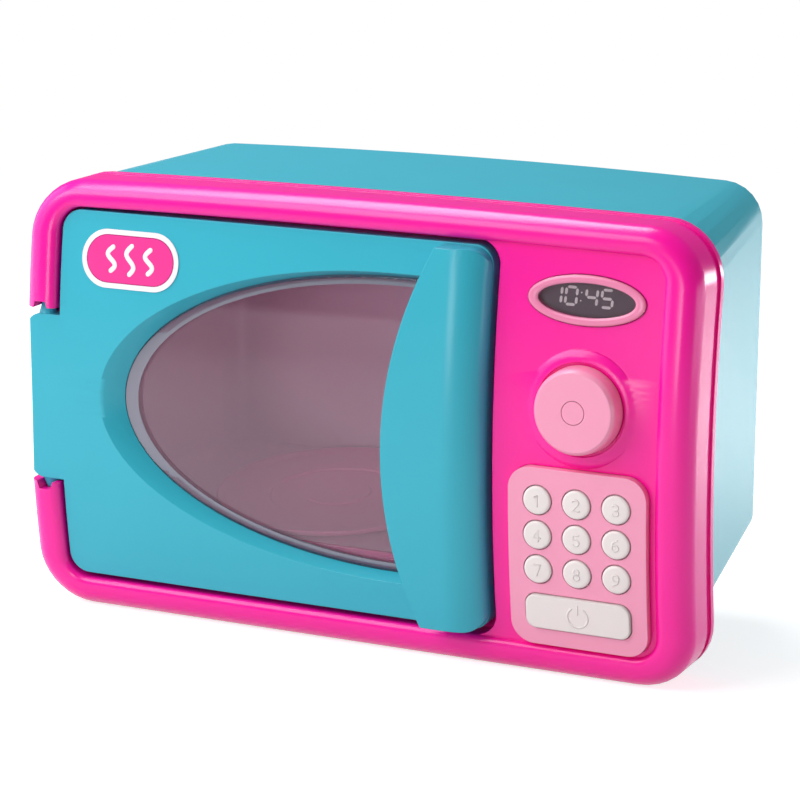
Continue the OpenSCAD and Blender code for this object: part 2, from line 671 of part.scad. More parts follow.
module housing() {
    leg_y = housing_back - leg_in;
    color(turquoise) placed() difference() {
        union() {
            intersection() {
                difference() {
                    housing_form(0);
                    housing_form(housing_wall);
                }
                bowed(frame_d + 0.2, bow_r - 1);
            }
            at_towers() translate([0, 0, tower_floor_y])
                bore(tower_r, housing_back - housing_wall - tower_floor_y + 1);
            for (x = [-leg_x, leg_x])
                translate([x, leg_y, leg_pad_t]) bore(leg_r, housing_foot_back - leg_pad_t + 1);
        }
        at_towers() translate([0, 0, tower_floor_y + tower_floor_t]) bore(channel_r, reach * 3);
        at_towers() bore(large_screw_d / 2 + 0.15, reach * 3);
        for (x = [-leg_x, leg_x])
            translate([x, leg_y, 0]) bore(2.5, leg_pad_t + 6);
        // Vent slots in the rear wall
        for (i = [-4:4])
            translate([i * 14 - 2, housing_back - 8, mid_z + 20]) cube([4, 20, 40]);
    }
}
module leg_pads() {
    color("dimgray") placed() for (x = [-leg_x, leg_x])
        translate([x, housing_back - leg_in, 0]) {
            bore(leg_r - 0.8, leg_pad_t);
            translate([0, 0, leg_pad_t - tiny]) bore(2.5 - seat_gap, 5);
        }
}
module housing_screws() {
    color("silver") placed() at_towers()
        translate([0, 0, tower_floor_y + tower_floor_t]) screw(large_screw_d, large_head_r, large_screw_l, 2.2);
}

// Height of the cavity's floor at a depth
function floor_z(y) = floor_front_z + (y - floor_front_y) * tan(floor_slope);
// Rounded box of the cavity, grown outwards by a wall, with its rear edges rounded
module cavity_form(wall) {
    back = cavity_back - liner_round;
    layers = concat([[0, 0]],
        [for (i = [0:4]) [back + wall + liner_round * sin(90 * i / 4), liner_round * (1 - cos(90 * i / 4))]]);
    loops = [for (s = layers) box_loop(cavity_x0 - wall + s[1], cavity_x1 + wall - s[1],
        floor_z(s[0]) - wall, cavity_top + wall, cavity_corner_r * 0.6, 4, 1)];
    m = len(loops[0]);
    middle = (cavity_x0 + cavity_x1) / 2;
    pts = concat([for (i = [0:len(layers) - 1], p = loops[i]) [p[0], layers[i][0], p[1]]],
        [[middle, 0, mid_z]], [[middle, cavity_back + wall, mid_z]]);
    polyhedron(points = pts, faces = stack_faces(m, len(layers)), convexity = 4);
}
module cavity_liner() {
    color("pink") placed() difference() {
        union() {
            intersection() {
                cavity_form(liner_wall);
                bowed(seat_rear + seat_gap, bow_r - 1);
            }
            face_slab(seat_rear + seat_gap, seat_rear + seat_gap + 1.8)
                rounded(cavity_x0 - 4.2, cavity_x1 + 2.4, cavity_sill - 11, cavity_top + 11, cavity_corner_r);
            // Hub under the turntable
            at_turntable(-6) bore(spindle_d / 2 + 4, 6 - tiny);
        }
        cavity_form(0);
        at_turntable(-reach / 2) bore(spindle_d / 2 + pin_clear, reach);
        at_liner_screws() bore(small_screw_d / 2 + 0.2, reach);
    }
}
module liner_screws() {
    color("silver") placed() at_liner_screws()
        translate([0, 0, seat_rear + seat_gap + head_gap * 1.6 + 1.8])
            screw(small_screw_d, small_head_r, short_screw_l, 1.4);
}
module at_turntable(h) {
    translate([plate_x, plate_y, floor_at_plate]) rotate([floor_slope, 0, 0])
        translate([0, 0, h]) children();
}
module turntable_plate() {
    color(soft_pink) placed() at_turntable(plate_gap) difference() {
        rotate_extrude($fn = 144) polygon([[0, 0], [plate_r - 11, 0], [plate_r - 2.5, 1],
            [plate_r, plate_h - 0.8], [plate_r, plate_h - 0.2], [plate_r - 0.5, plate_h],
            [plate_r - 1.6, plate_h], [plate_r - 5.5, 2.5], [31.6, 2.2], [31, 1.5], [15.6, 1.5],
            [15, 2.2], [0, 2.2]]);
        translate([0, 0, -1]) bore(spindle_d / 2 - 0.4, 2.4);
    }
}
module turntable_spindle() {
    color(soft_pink) placed() difference() {
        union() {
            at_turntable(-9.5) bore(spindle_d / 2, 9.5 + 0.2);
            at_turntable(0.1) bore(spindle_d / 2 + 2, plate_gap - 0.15);
            at_turntable(0) bore(spindle_d / 2 - 0.5, plate_gap + 1.3);
        }
        at_turntable(-8.2) difference() {
            bore(spindle_d, 1.3);
            translate([0, 0, -1]) bore(spindle_d / 2 - 1, 4);
        }
    }
}
module spindle_clip() {
    color("silver") placed() at_turntable(-8.1) difference() {
        bore(spindle_d / 2 + 2.5, 1.1);
        translate([0, 0, -1]) bore(spindle_d / 2 - 0.9, 4);
        translate([0, -spindle_d / 2 + 1.2, -1]) cube([spindle_d * 2, spindle_d - 2.4, 4]);
    }
}

module door_outline(inset) {
    rounded(door_x0 + inset, door_x1 - inset, door_z0 + inset, door_z1 - inset,
        max(door_corner_r - inset, 1));
}
// Positions of the screws that close the door
module at_door_screws() {
    for (x = [door_x0 + 9, (door_x0 + door_x1) / 2 - 6, door_x1 - 7], z = [door_z0 + 6.6, door_z1 - 6.6])
        translate([x, bow_y(z), z]) rotate([-90, 0, 0]) children();
}
// Positions of the screws that hold the grip
module at_grip_screws() {
    for (z = [door_z0 + 30, mid_z + 16, door_z1 - 30])
        translate([door_x1 - 12, bow_y(z), z]) rotate([-90, 0, 0]) children();
}
// Scooped border of the window as a stack of loops that follow the bow
module window_scoop() {
    n = 48;
    outer = window_loop(window_a + scoop_side, window_b + scoop_ends, win_end, n);
    inner = window_loop(window_a, window_b, win_end, n);
    lead = -0.3;
    steps = [for (i = [1:5]) let (f = i / 5) [f, scoop_depth * (0.75 * f + 0.25 * f * f)]];
    layers = concat([[lead, steps[0][1] * lead / steps[0][0]]], steps);
    m = len(outer);
    pts = concat([for (s = layers, i = [0:m - 1]) let (p = mix(outer[i], inner[i], s[0]))
            [p[0], bow_y(p[1]) + s[1], p[1]]],
        [[win_x, bow_y(win_z) + layers[0][1], win_z]],
        [[win_x, bow_y(win_z) + scoop_depth, win_z]]);
    polyhedron(points = pts, faces = stack_faces(m, len(layers)), convexity = 6);
}
module door() {
    seat = door_depth - pane_t - seat_gap;
    color(turquoise) placed() difference() {
        union() {
            difference() {
                face_slab(0, door_depth) door_outline(0);
                face_slab(door_skin, reach / 4) difference() {
                    door_outline(door_wall);
                    polygon(window_loop(window_a + scoop_side + collar_wall,
                        window_b + scoop_ends + collar_wall, win_end + pane_flange + collar_wall, 48));
                }
            }
            // Knuckle with its web
            intersection() {
                face_slab(0, reach / 2) rounded(hinge_x - knuckle_r, hinge_x + 30, knuckle_z0,
                    knuckle_z1, knuckle_corner_r);
                union() {
                    bowed(0, door_skin);
                    intersection() {
                        translate([hinge_x, hinge_y - 4.2, 0]) cube([roll_w, 7.2, frame_h]);
                        bowed(0, door_depth);
                    }
                }
                union() {
                    translate([hinge_x, hinge_y, 0]) bore(knuckle_r, frame_h);
                    translate([hinge_x + 3, -reach, 0]) cube([roll_w - 5, reach + hinge_y + 3, frame_h]);
                }
            }
            translate([hinge_x, hinge_y, 0]) rotate_extrude($fn = round_fn) polygon([[0, pin_low_z],
                [hinge_pin_d / 2, pin_low_z], [hinge_pin_d / 2, knuckle_z0 - hub_low_len],
                [hub_tip_r, knuckle_z0 - hub_low_len], [hub_r, knuckle_z0], [hub_r, knuckle_z1],
                [hub_tip_r, knuckle_z1 + hub_top_len], [hinge_pin_d / 2, knuckle_z1 + hub_top_len],
                [hinge_pin_d / 2, pin_top_z], [0, pin_top_z]]);
            // Bosses for the rear panel's screws
            intersection() {
                face_slab(door_skin - 1, door_depth) door_outline(door_wall / 2);
                at_door_screws() bore(3, reach / 2);
            }
            // Catch behind the free edge
            translate([catch_x, bow_y(mid_z) + door_skin - 1, mid_z - catch_h / 2])
                cube([catch_t, catch_back - bow_y(mid_z) - door_skin + 1, catch_h]);
        }
        window_scoop();
        prism(-reach, reach) polygon(window_loop(window_a - tiny, window_b - tiny, win_end - tiny, 48));
        face_slab(seat, reach / 4) polygon(window_loop(window_a + pane_flange,
            window_b + pane_flange - 0.6, win_end + pane_flange, 48));
        at_door_screws() translate([0, 0, door_skin - 1])
            bore(small_screw_d / 2 + thread_gap, reach / 4);
        at_grip_screws() translate([0, 0, -1]) bore(small_screw_d / 2 + 0.2, 8);
    }
}
module window_pane() {
    n = 48;
    outer = window_loop(window_a - 0.4, window_b - 0.4, win_end - 0.4, n);
    inner = window_loop(window_a - pane_bevel_side, window_b - pane_bevel_ends,
        win_end - pane_bevel_ends, n);
    m = len(outer);
    front = scoop_depth - 0.2;
    seat = door_depth - pane_t;
    layers = [[1, 0], [1, front], [0, front + pane_bevel_drop], [0, seat + 1]];
    pts = concat([for (s = layers, i = [0:m - 1]) let (p = mix(outer[i], inner[i], s[0]))
            [p[0], bow_y(p[1]) + s[1], p[1]]],
        [[win_x, bow_y(win_z) - 1, win_z]], [[win_x, bow_y(win_z) + seat + 2, win_z]]);
    color([0.55, 0.4, 0.48, 0.5]) placed() difference() {
        union() {
            face_slab(seat, door_depth) polygon(window_loop(window_a + pane_flange - 0.3,
                window_b + pane_flange - 0.9, win_end + pane_flange - 0.3, n));
            intersection() {
                polyhedron(points = pts, faces = stack_faces(m, len(layers)), convexity = 6);
                bowed(front, door_depth - 0.5);
            }
        }
        face_slab(front + pane_t, reach / 4) polygon(window_loop(window_a - pane_bevel_side - 2,
            window_b - pane_bevel_ends - 2, win_end - pane_bevel_ends - 2, n));
    }
}
module door_back_panel() {
    color(turquoise) placed() difference() {
        face_slab(door_depth + seat_gap, door_depth + seat_gap + door_back_t) door_outline(0.4);
        prism(-reach, reach) polygon(window_loop(window_a - 3, window_b - 3, win_end - 3, 48));
        at_door_screws() bore(small_screw_d / 2 + 0.2, reach / 2);
        translate([catch_x - 0.3, -reach / 4, mid_z - catch_h / 2 - 0.3])
            cube([catch_t + 0.6, reach, catch_h + 0.6]);
        at_door_screws() translate([0, 0, door_depth + seat_gap + door_back_t - 1])
            bore(small_head_r + 0.3, reach / 4);
    }
}
module door_screws() {
    color("silver") placed() at_door_screws()
        translate([0, 0, door_depth + seat_gap * 2 + door_back_t - 1])
            screw(small_screw_d, small_head_r, small_screw_l, 0.9);
}
module door_grip() {
    flank_a = grip_flank_w + 3.5;
    flank_x = door_x1 - flank_a;
    r0 = bow_r;
    section = concat([[grip_x0, r0 + seat_gap], [grip_x0, r0 + grip_rise - grip_lip_t - 1.5],
        [grip_x0 - 1.5, r0 + grip_rise - grip_lip_t], [grip_x0 - 30, r0 + grip_rise - grip_lip_t],
        [grip_x0 - 30, r0 + grip_rise], [flank_x + 3, r0 + grip_rise]],
        [for (i = [2:10]) [flank_x + flank_a * sin(90 * i / 10),
            r0 + seat_gap + (grip_rise + 0.3 - seat_gap) * cos(90 * i / 10)]]);
    arc_x = door_x1 - grip_reach + grip_arc_r;
    color(turquoise) placed() difference() {
        intersection() {
            translate([0, bow_r - bow_depth, mid_z]) rotate([0, 90, 0]) mirror([0, 0, 0])
                rotate_extrude($fn = bow_fn) polygon([for (p = section) [p[1], p[0]]]);
            prism(-reach, -0.2 + reach / 6) intersection() {
                translate([arc_x, mid_z - 5]) circle(r = grip_arc_r, $fn = bow_fn);
                rounded(door_x1 - grip_reach - 5, door_x1, door_z0 + grip_short, door_z1 - grip_short,
                    grip_corner_r);
            }
        }
        at_grip_screws() translate([0, 0, -7]) bore(small_screw_d / 2 + thread_gap, 12);
    }
}
module grip_screws() {
    color("silver") placed() at_grip_screws()
        translate([0, 0, door_skin + head_gap]) screw(small_screw_d, small_head_r, small_screw_l + 2, 1.4);
}
module sticker() {
    x = door_x0 + sticker_in;
    z = door_z1 - sticker_drop;
    color("white") placed() face_slab(-sticker_t - seat_gap, -seat_gap)
        rounded(x - sticker_w / 2, x + sticker_w / 2, z - sticker_h / 2, z + sticker_h / 2,
            sticker_h / 2 - 0.2);
}
module catch_keeper() {
    y = bow_y(mid_z - catch_h) + seat_rear + 0.3;
    stop_x = catch_x + catch_t + 1.9;
    foot_x = catch_x + catch_t + 3.3;
    color(turquoise) placed() {
        translate([stop_x, y, mid_z - catch_h]) cube([foot_x - stop_x, 8, catch_h * 2]);
        translate([foot_x - tiny, y, mid_z - catch_h])
            cube([panel_x - seat_gap - foot_x + tiny, 1.6, catch_h * 2]);
    }
}

module knob() {
    color(soft_pink) placed() on_face(part_x, knob_z) difference() {
        union() {
            rotate_extrude($fn = 128) polygon(concat([[knob_r - knob_wall, 0.5], [knob_r - 0.3, 0.5],
                [knob_r, 0.8]],
                [[knob_r - 0.5, knob_h - 2.4], [knob_r - 0.9, knob_h - 1.4], [knob_r - 1.5, knob_h - 0.6],
                 [knob_front_r + 0.1, knob_h - 0.05], [knob_front_r - 0.8, knob_h], [0, knob_h],
                 [0, knob_h - 3], [knob_r - knob_wall - 0.8, knob_h - 3]]));
            translate([0, 0, -panel_t - 7.3]) bore(knob_shaft_d / 2, knob_h + panel_t + 5);
        }
        translate([0, 0, knob_h - 1]) bore(knob_cap_r + 0.25, reach);
        translate([0, 0, -panel_t - 8]) bore(small_screw_d / 2 + thread_gap, 9);
    }
}
module knob_cap() {
    color([0.92, 0.64, 0.75]) placed() on_face(part_x, knob_z)
        translate([0, 0, knob_h - 0.95]) bore(knob_cap_r, 0.95);
}
module detent_wheel() {
    color("white") placed() on_face(part_x, knob_z) translate([0, 0, -panel_t - 7.3]) difference() {
        bore(detent_r, 3);
        translate([0, 0, -1]) bore(knob_shaft_d / 2 + 0.02, reach);
        for (i = [0:detent_count - 1])
            rotate([0, 0, i * 360 / detent_count]) translate([detent_r + 0.6, 0, -1])
                cylinder(r = 1.4, h = 6, $fn = 24);
    }
}
module knob_screw() {
    color("silver") placed() on_face(part_x, knob_z) translate([0, 0, -panel_t - 7.35])
        mirror([0, 0, 1]) screw(small_screw_d, knob_shaft_d / 2 + 1, small_screw_l, 1.4);
}
module detent_spring() {
    color("silver") placed() on_face(part_x, knob_z)
        translate([-detent_r - 1.5, -detent_r - 0.9, -panel_t - 7.3]) union() {
            cube([0.8, detent_r * 2 + 1.8, 3]);
            translate([0.7, detent_r + 0.9, 0]) cylinder(r = 0.55, h = 3, $fn = 24);
        }
}
module display_lens() {
    color([0.6, 0.5, 0.55, 0.6]) placed() face_slab(-lens_rise, lens_seat - seat_gap)
        polygon(oval(part_x, display_z, display_a - 0.15, display_b - 0.15, 64));
}
module display_card() {
    color([0.3, 0.26, 0.29]) placed() face_slab(panel_t + seat_gap, panel_t + seat_gap + 0.8)
        rounded(part_x - display_a + 2.5, part_x + display_a - 2.5, display_z - display_b + 1,
            display_z + display_b - 1, 2);
}

module keypad_plate() {
    color(soft_pink) placed() difference() {
        face_slab(-keypad_rise, keypad_seat - seat_gap) keypad_outline(0);
        face_slab(-keypad_rise + keypad_skin, reach / 4) keypad_outline(keypad_wall);
        for (i = [0:8]) at_key(i) bore(key_r + key_gap, reach / 4);
        at_start() linear_extrude(reach / 4) rounded(-start_w / 2 - key_gap, start_w / 2 + key_gap,
            -start_h / 2 - key_gap, start_h / 2 + key_gap, start_corner_r + key_gap);
    }
}
// Places children at a key, with their Z axis along the key's travel
module at_key(i) {
    on_face(part_x + (i % 3 - 1) * key_pitch_x, key_row_1 - floor(i / 3) * key_pitch_z) children();
}
module at_start() {
    on_face(part_x, start_z) children();
}
module key(i) {
    top = keypad_rise + key_rise;
    color(key_white) placed() at_key(i) rotate_extrude($fn = 64)
        polygon(concat([[0, flange_front - flange_t], [key_r + key_flange, flange_front - flange_t],
            [key_r + key_flange, flange_front], [key_r, flange_front]],
            [for (j = [0:4]) [key_r - 1.3 + 1.3 * cos(90 * j / 4), top - 0.15 - 0.9 + 0.9 * sin(90 * j / 4)]],
            [[0, top]]));
}
module key_1() { key(0); }
module key_2() { key(1); }
module key_3() { key(2); }
module key_4() { key(3); }
module key_5() { key(4); }
module key_6() { key(5); }
module key_7() { key(6); }
module key_8() { key(7); }
module key_9() { key(8); }
module start_key() {
    top = keypad_rise + key_rise;
    color(key_white) placed() at_start() {
        translate([0, 0, flange_front - flange_t - 0.15]) linear_extrude(flange_t)
            rounded(-start_w / 2 - key_flange, start_w / 2 + key_flange, -start_h / 2 - key_flange,
                start_h / 2 + key_flange, start_corner_r);
        translate([0, 0, flange_front - 0.2]) linear_extrude(top - flange_front - 0.7)
            rounded(-start_w / 2, start_w / 2, -start_h / 2, start_h / 2, start_corner_r);
        for (i = [0:3])
            translate([0, 0, top - 0.95]) linear_extrude(0.05 + 0.9 * sin(90 * (i + 1) / 4))
                rounded(-start_w / 2 + 0.9 * (1 - cos(90 * i / 4)) + 0.05,
                    start_w / 2 - 0.9 * (1 - cos(90 * i / 4)) - 0.05,
                    -start_h / 2 + 0.9 * (1 - cos(90 * i / 4)) + 0.05,
                    start_h / 2 - 0.9 * (1 - cos(90 * i / 4)) - 0.05, start_corner_r - 0.5);
    }
}
module key_mat() {
    color("gray") placed() face_slab(mat_depth, backing_depth) keypad_outline(keypad_inset + 0.4);
}
module key_backing_plate() {
    color("seagreen") placed() difference() {
        face_slab(backing_depth + seat_gap, backing_depth + seat_gap + backing_t) {
            keypad_outline(1.6);
            for (z = [boss_low_z, boss_high_z])
                rounded(boss_left - 2.4, boss_right + 2.2, z - 3, z + 3, 2);
        }
        at_backing_bosses() translate([0, 0, -reach / 3]) bore(small_screw_d / 2 + 0.2, reach / 3);
    }
}
module backing_screws() {
    color("silver") placed() at_backing_bosses()
        translate([0, 0, -backing_depth - backing_t - seat_gap - head_gap])
            mirror([0, 0, 1]) screw(small_screw_d, small_head_r, short_screw_l, 1.2);
}

front_frame();
housing();
leg_pads();
housing_screws();
cavity_liner();
liner_screws();
turntable_plate();
turntable_spindle();
spindle_clip();
door();
window_pane();
door_back_panel();
door_screws();
door_grip();
grip_screws();
sticker();
catch_keeper();
knob();
knob_cap();
detent_wheel();
knob_screw();
detent_spring();
display_lens();
display_card();
keypad_plate();
key_1();
key_2();
key_3();
key_4();
key_5();
key_6();
key_7();
key_8();
key_9();
start_key();
key_mat();
key_backing_plate();
backing_screws();
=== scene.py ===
"""Looks of the toy microwave oven: materials, prints, floor, light and camera."""
import json
import math

import bmesh
import bpy
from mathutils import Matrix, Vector


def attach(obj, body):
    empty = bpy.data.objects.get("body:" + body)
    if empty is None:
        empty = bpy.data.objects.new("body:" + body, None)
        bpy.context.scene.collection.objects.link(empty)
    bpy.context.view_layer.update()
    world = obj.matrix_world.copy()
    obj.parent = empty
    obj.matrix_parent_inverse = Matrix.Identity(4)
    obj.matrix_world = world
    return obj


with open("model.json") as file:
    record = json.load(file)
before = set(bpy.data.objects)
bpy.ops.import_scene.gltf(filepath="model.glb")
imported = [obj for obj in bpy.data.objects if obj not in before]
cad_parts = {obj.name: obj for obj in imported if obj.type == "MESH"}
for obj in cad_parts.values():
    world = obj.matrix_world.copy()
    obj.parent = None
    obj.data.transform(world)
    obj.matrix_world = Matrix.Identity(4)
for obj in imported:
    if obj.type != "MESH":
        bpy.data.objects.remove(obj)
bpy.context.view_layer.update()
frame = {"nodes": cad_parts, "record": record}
nodes = frame["nodes"]
scene = bpy.context.scene
scene.view_settings.view_transform = "Standard"

# Sizes in metres, as the solids have them, that place the prints and raised marks
HALF_W = 0.160
FRAME_H = 0.199
MID_Z = FRAME_H / 2
ROLL_W, ROLL_TOP_W = 0.016, 0.012
DOOR_GAP_SIDE, DOOR_GAP_ENDS = 0.0016, 0.0024
BOW = 0.0105
BOW_R = (MID_Z**2 + BOW**2) / (2 * BOW)
GRIP_RISE, HOUSING_BACK = 0.011, 0.1273
FACE_Y = (BOW + GRIP_RISE - HOUSING_BACK) / 2

# The panel's parts stand in one column
PANEL_W, COLUMN_IN = 0.0735, 0.0397
PART_X = HALF_W - ROLL_W - PANEL_W + COLUMN_IN
KEYPAD_FOOT, KEYPAD_H, KEYPAD_RISE, KEY_RISE = 0.0149, 0.0795, 0.0035, 0.0012
KEY_TOP = KEYPAD_RISE + KEY_RISE
ROW_DROP = 0.01395
ROW_1 = KEYPAD_FOOT + KEYPAD_H - ROW_DROP
PITCH_X, PITCH_Z = 0.01767, 0.01527
START_FOOT, START_H = 0.0083, 0.0156
START_Z = KEYPAD_FOOT + START_FOOT + START_H / 2
DISPLAY_DROP = 0.0332
DISPLAY_Z = FRAME_H - DISPLAY_DROP

# The window's middle, and the sticker's
WIN_X, WIN_Z = 0.0215, MID_Z + 0.0015
STICKER_IN, STICKER_DROP = 0.0355, 0.0203
STICK_X = -HALF_W + ROLL_W + DOOR_GAP_SIDE + STICKER_IN
STICK_Z = FRAME_H - ROLL_TOP_W - DOOR_GAP_ENDS - STICKER_DROP

# Shading: edges sharper than the limit stay crisp, points of one place count as one, and
# moulded edges are seen as rounded by a small radius
SMOOTH_LIMIT = 34
WELD_STEPS_PER_M = 2e5
EDGE = 0.0006


def srgb(r, g, b):
    """Linear colour from 0 to 255 display values."""
    out = []
    for v in (r, g, b):
        v /= 255
        out.append(v / 12.92 if v <= 0.04045 else ((v + 0.055) / 1.055) ** 2.4)
    return (*out, 1.0)


def face_y(z):
    """The bowed face's y at a height."""
    return FACE_Y + BOW_R - BOW - math.sqrt(BOW_R**2 - (z - MID_Z) ** 2)


def face_point(x, z, rise, u=0.0, v=0.0):
    """Point over the bowed face: u to the right and v up along it, rise outwards."""
    t = math.asin((z - MID_Z) / BOW_R)
    return Vector((
        x + u,
        face_y(z) - rise * math.cos(t) + v * math.sin(t),
        z + rise * math.sin(t) + v * math.cos(t),
    ))


class Graph:
    """Short-hand for building the nodes of a material or world."""

    def __init__(self, owner, out="OutputMaterial"):
        owner.use_nodes = True
        self.tree = owner.node_tree
        self.tree.nodes.clear()
        self.out = self.add(out)

    def add(self, kind, **values):
        """Node with its settings, and its sockets' values with _ for each space."""
        node = self.tree.nodes.new("ShaderNode" + kind)
        for key, value in values.items():
            if hasattr(node, key):
                setattr(node, key, value)
            else:
                node.inputs[key.replace("_", " ")].default_value = value
        return node

    def link(self, a, b):
        self.tree.links.new(a, b)

    def surface(self, shader):
        self.link(shader, self.out.inputs["Surface"])

    def object_coords(self):
        return self.add("TexCoord").outputs["Object"]

    def noise(self, where, **values):
        node = self.add("TexNoise", **values)
        self.link(where, node.inputs["Vector"])
        return node.outputs["Fac"]

    def ramp(self, fac, low, high, start=0.0, end=1.0):
        node = self.add("ValToRGB")
        first, last = node.color_ramp.elements
        first.position, last.position = start, end
        first.color, last.color = (*low, 1), (*high, 1)
        self.link(fac, node.inputs["Fac"])
        return node.outputs["Color"]

    def spread(self, fac, middle, reach):
        """Value that varies around a middle by a reach."""
        node = self.add("MapRange", To_Min=middle - reach, To_Max=middle + reach)
        self.link(fac, node.inputs["Value"])
        return node.outputs["Result"]

    def bevelled(self, radius, samples):
        return self.add("Bevel", samples=samples, Radius=radius).outputs["Normal"]

    def calc(self, operation, a, b):
        """Result of an operation on a socket and a second socket or a number."""
        node = self.add("Math", operation=operation)
        self.link(a, node.inputs[0])
        if isinstance(b, float):
            node.inputs[1].default_value = b
        else:
            self.link(b, node.inputs[1])
        return node.outputs[0]

    def mix(self, amount, a, b):
        """Mix of two shaders by a number or a socket."""
        node = self.add("MixShader")
        if isinstance(amount, float):
            node.inputs["Fac"].default_value = amount
        else:
            self.link(amount, node.inputs["Fac"])
        self.link(a, node.inputs[1])
        self.link(b, node.inputs[2])
        return node.outputs[0]


def plastic(name, colour, rough=0.24, coat=0.0, bump=0.1, edge=0.0, subsurface=0.0,
            specular=0.5):
    """Moulded plastic with faint flow marks, an uneven gloss and softened edges."""
    mat = bpy.data.materials.new(name)
    g = Graph(mat)
    bsdf = g.add("BsdfPrincipled", Coat_Weight=coat, Coat_Roughness=0.08,
                 Specular_IOR_Level=specular, IOR=1.46)
    if subsurface:
        bsdf.inputs["Subsurface Weight"].default_value = subsurface
        bsdf.inputs["Subsurface Radius"].default_value = (0.004, 0.002, 0.002)
    where = g.object_coords()
    flow = g.noise(where, Scale=14.0, Detail=3.0, Distortion=0.6)
    variation = 0.012
    low = [c * (1 - variation) for c in colour[:3]]
    high = [min(1.0, c * (1 + variation)) for c in colour[:3]]
    g.link(g.ramp(flow, low, high, start=0.3, end=0.7), bsdf.inputs["Base Color"])
    smear = g.noise(where, Scale=45.0, Detail=1.5)
    g.link(g.spread(smear, rough, reach=0.015), bsdf.inputs["Roughness"])
    grain = g.noise(where, Scale=900.0, Detail=2.0)
    surface = g.add("Bump", Strength=bump, Distance=0.00004)
    g.link(grain, surface.inputs["Height"])
    if edge:
        g.link(g.bevelled(edge, samples=6), surface.inputs["Normal"])
    g.link(surface.outputs["Normal"], bsdf.inputs["Normal"])
    g.surface(bsdf.outputs["BSDF"])
    return mat


def clear(name, tint, haze, haze_amount, rough=0.05):
    """Clear moulded plastic: tinted light through it, a faint haze and a glossy surface."""
    mat = bpy.data.materials.new(name)
    g = Graph(mat)
    through = g.add("BsdfTransparent", Color=tint)
    dull = g.add("BsdfDiffuse")
    cloud = g.noise(g.object_coords(), Scale=8.0)
    darker = [c * 0.92 for c in haze[:3]]
    g.link(g.ramp(cloud, darker, haze[:3]), dull.inputs["Color"])
    body = g.mix(haze_amount, through.outputs[0], dull.outputs[0])
    shine = g.add("BsdfGlossy", Roughness=rough)
    g.link(g.bevelled(EDGE, samples=4), shine.inputs["Normal"])
    fresnel = g.add("Fresnel", IOR=1.49)
    g.surface(g.mix(fresnel.outputs[0], body, shine.outputs[0]))
    return mat


def metal(name, colour, rough=0.3):
    """Plated steel with a fine uneven gloss."""
    mat = bpy.data.materials.new(name)
    g = Graph(mat)
    bsdf = g.add("BsdfPrincipled", Metallic=1.0)
    noise = g.noise(g.object_coords(), Scale=600.0)
    darker = [c * 0.85 for c in colour]
    g.link(g.ramp(noise, darker, colour), bsdf.inputs["Base Color"])
    g.link(g.spread(noise, rough, reach=0.08), bsdf.inputs["Roughness"])
    g.surface(bsdf.outputs["BSDF"])
    return mat


mats = {
    "hot_pink": plastic("hot_pink_plastic", srgb(254, 12, 158), edge=EDGE, subsurface=0.15),
    "turquoise": plastic("turquoise_plastic", srgb(56, 176, 197), rough=0.26, edge=EDGE,
                         specular=0.4),
    "soft_pink": plastic("soft_pink_plastic", srgb(248, 158, 190), rough=0.3, coat=0.15,
                         edge=EDGE, subsurface=0.1),
    "pale_pink": plastic("pale_pink_plastic", srgb(240, 206, 218), rough=0.35, coat=0.1),
    "white_key": plastic("key_plastic", srgb(238, 228, 226), rough=0.38, edge=EDGE,
                         subsurface=0.1),
    "smoke_pane": clear("pane_plastic", (0.97, 0.93, 0.96, 1), srgb(226, 140, 190), 0.08),
    "lens_clear": clear("lens_plastic", (1, 0.98, 0.99, 1), srgb(246, 205, 220), 0.03),
    "display_print": plastic("display_card", srgb(88, 74, 88), rough=0.5),
    "sticker_print": plastic("sticker_film", srgb(245, 240, 244), rough=0.2, coat=0.5),
    "grey_rubber": plastic("mat_rubber", srgb(120, 120, 124), rough=0.7),
    "dark_rubber": plastic("pad_rubber", srgb(50, 50, 52), rough=0.75, bump=0.5, edge=EDGE),
    "grey_board": plastic("backing_board", srgb(60, 110, 80), rough=0.5),
    "steel": metal("screw_steel", (0.62, 0.62, 0.64)),
}
digit_paint = plastic("display_digit", srgb(255, 250, 253), rough=0.5)
rim_pink = plastic("display_rim", srgb(236, 132, 172), rough=0.22, coat=0.2)
# Mostly opaque grey for the pane's bevel: painted reflection of the bright surroundings, with a
# little tinted light through it.
pane_rim_painted_reflection = clear("pane_rim_painted_reflection", (0.8, 0.74, 0.82, 1), srgb(152, 148, 162), 0.85, rough=0.3)
sticker_rim = plastic("sticker_rim", srgb(176, 20, 110), rough=0.2, coat=0.5)
sticker_pink = plastic("sticker_pink", srgb(246, 60, 150), rough=0.2, coat=0.5)


def smooth(obj, limit):
    """Smooth shading across edges flatter than a limit in degrees, weighted by area."""
    mesh = obj.data
    keys = [tuple(round(c * WELD_STEPS_PER_M) for c in v.co) for v in mesh.vertices]
    around = {}
    for poly in mesh.polygons:
        for v in poly.vertices:
            around.setdefault(keys[v], []).append(poly.index)
    normals = [p.normal.copy() for p in mesh.polygons]
    areas = [p.area for p in mesh.polygons]
    least = math.cos(math.radians(limit))
    loops = [None] * len(mesh.loops)
    for poly in mesh.polygons:
        own = normals[poly.index]
        for k in poly.loop_indices:
            total = Vector((0, 0, 0))
            for other in around[keys[mesh.loops[k].vertex_index]]:
                if normals[other].dot(own) >= least:
                    total += normals[other] * areas[other]
            loops[k] = total.normalized() if total.length > 0 else own
    mesh.polygons.foreach_set("use_smooth", [True] * len(mesh.polygons))
    mesh.normals_split_custom_set(loops)


slot_of = {s["node"]: s["material_slot"] for s in frame["record"]["subparts"]}
for name, obj in nodes.items():
    obj.data.materials.clear()
    obj.data.materials.append(mats[slot_of[name]])
    for p in obj.data.polygons:
        p.material_index = 0
    smooth(obj, SMOOTH_LIMIT)


